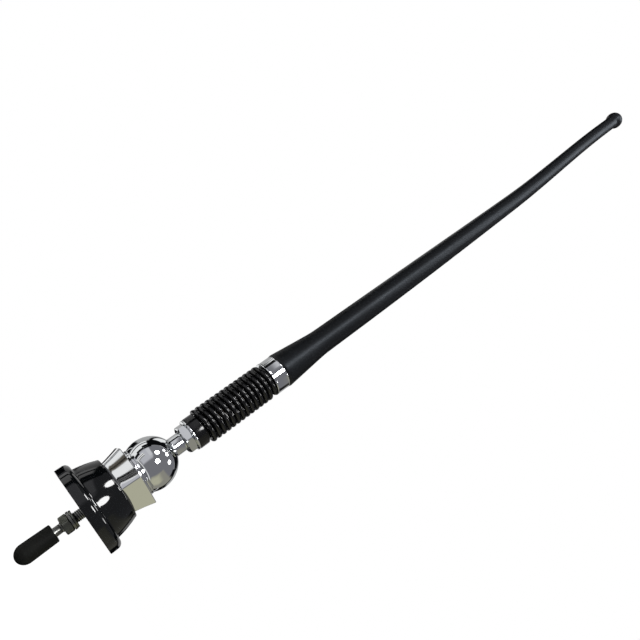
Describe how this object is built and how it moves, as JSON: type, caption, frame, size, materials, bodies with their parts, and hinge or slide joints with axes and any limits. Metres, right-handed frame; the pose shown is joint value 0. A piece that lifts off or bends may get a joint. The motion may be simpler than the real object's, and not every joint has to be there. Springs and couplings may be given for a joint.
{
  "type": "car antenna",
  "caption": "Flexible rubber car antenna on a coil spring, with a chrome swivel ball in a hexagonal socket, a round black base and a threaded stud with a booted contact pin.",
  "frame": {"origin": "centre of the underside of the base, on the outer face of the car's panel", "axes": "+Z along the stud, away from the panel and up the mast; the ball tilts and the rubber mast is set in the XZ plane"},
  "size_m": [0.0428, 0.0428, 0.4968],
  "materials": {
    "glossy_abs": "glossy",
    "seal_rubber": "matte",
    "chrome_plate": "mirror",
    "zinc_steel": "satin",
    "dull_zinc": "dull zinc plate",
    "black_enamel": "glossy",
    "brass": "plain",
    "mast_rubber": "satin",
    "soft_vinyl": "matte"
  },
  "bodies": {
    "base": {"base_housing": "glossy_abs", "seal_pad": "seal_rubber", "swivel_socket": "chrome_plate", "seat_ring": "chrome_plate"},
    "stud": {"mounting_stud": "zinc_steel", "clamp_saddle": "zinc_steel"},
    "ball": {"swivel_ball": "chrome_plate", "ball_stem": "chrome_plate", "jam_nut": "chrome_plate", "jam_washer": "chrome_plate", "lower_plug": "black_enamel", "coil_spring": "black_enamel", "inner_braid": "brass"},
    "mast": {"upper_plug": "black_enamel", "ferrule": "chrome_plate", "mast_core": "zinc_steel", "mast_sleeve": "mast_rubber"},
    "washers": {"flat_washer": "dull_zinc", "lock_washer": "zinc_steel"},
    "nut": {"mounting_nut": "dull_zinc"},
    "boot": {"vinyl_boot": "soft_vinyl"}
  },
  "joints": [
    {"name": "swivel_turn", "type": "hinge", "parent": "base", "child": "stud", "pos_m": [0, 0, 0], "axis": [0, 0, 1], "continuous": true},
    {"name": "swivel_tilt", "type": "hinge", "parent": "stud", "child": "ball", "pos_m": [0, 0, 0.0337], "axis": [0, 1, 0], "range_deg": [-45, 45]},
    {"name": "spring_flex", "type": "hinge", "parent": "ball", "child": "mast", "pos_m": [0, 0, 0.0815], "axis": [0, 1, 0], "range_deg": [-30, 30], "stiffness_Nm_per_rad": 0.56, "deforming": ["coil_spring", "inner_braid"]},
    {"name": "boot_pull", "type": "slide", "parent": "stud", "child": "boot", "axis": [0, 0, -1], "range_m": [0, 0.015]},
    {"name": "nut_travel", "type": "slide", "parent": "stud", "child": "washers", "axis": [0, 0, 1], "range_m": [0, 0.0033]},
    {"name": "nut_turn", "type": "hinge", "parent": "washers", "child": "nut", "pos_m": [0, 0, -0.00745], "axis": [0, 0, 1], "range_deg": [0, 1485]}
  ],
  "couplings": [
    {"joint": "nut_turn", "follows": "nut_travel", "rad_per_m": 7854}
  ]
}
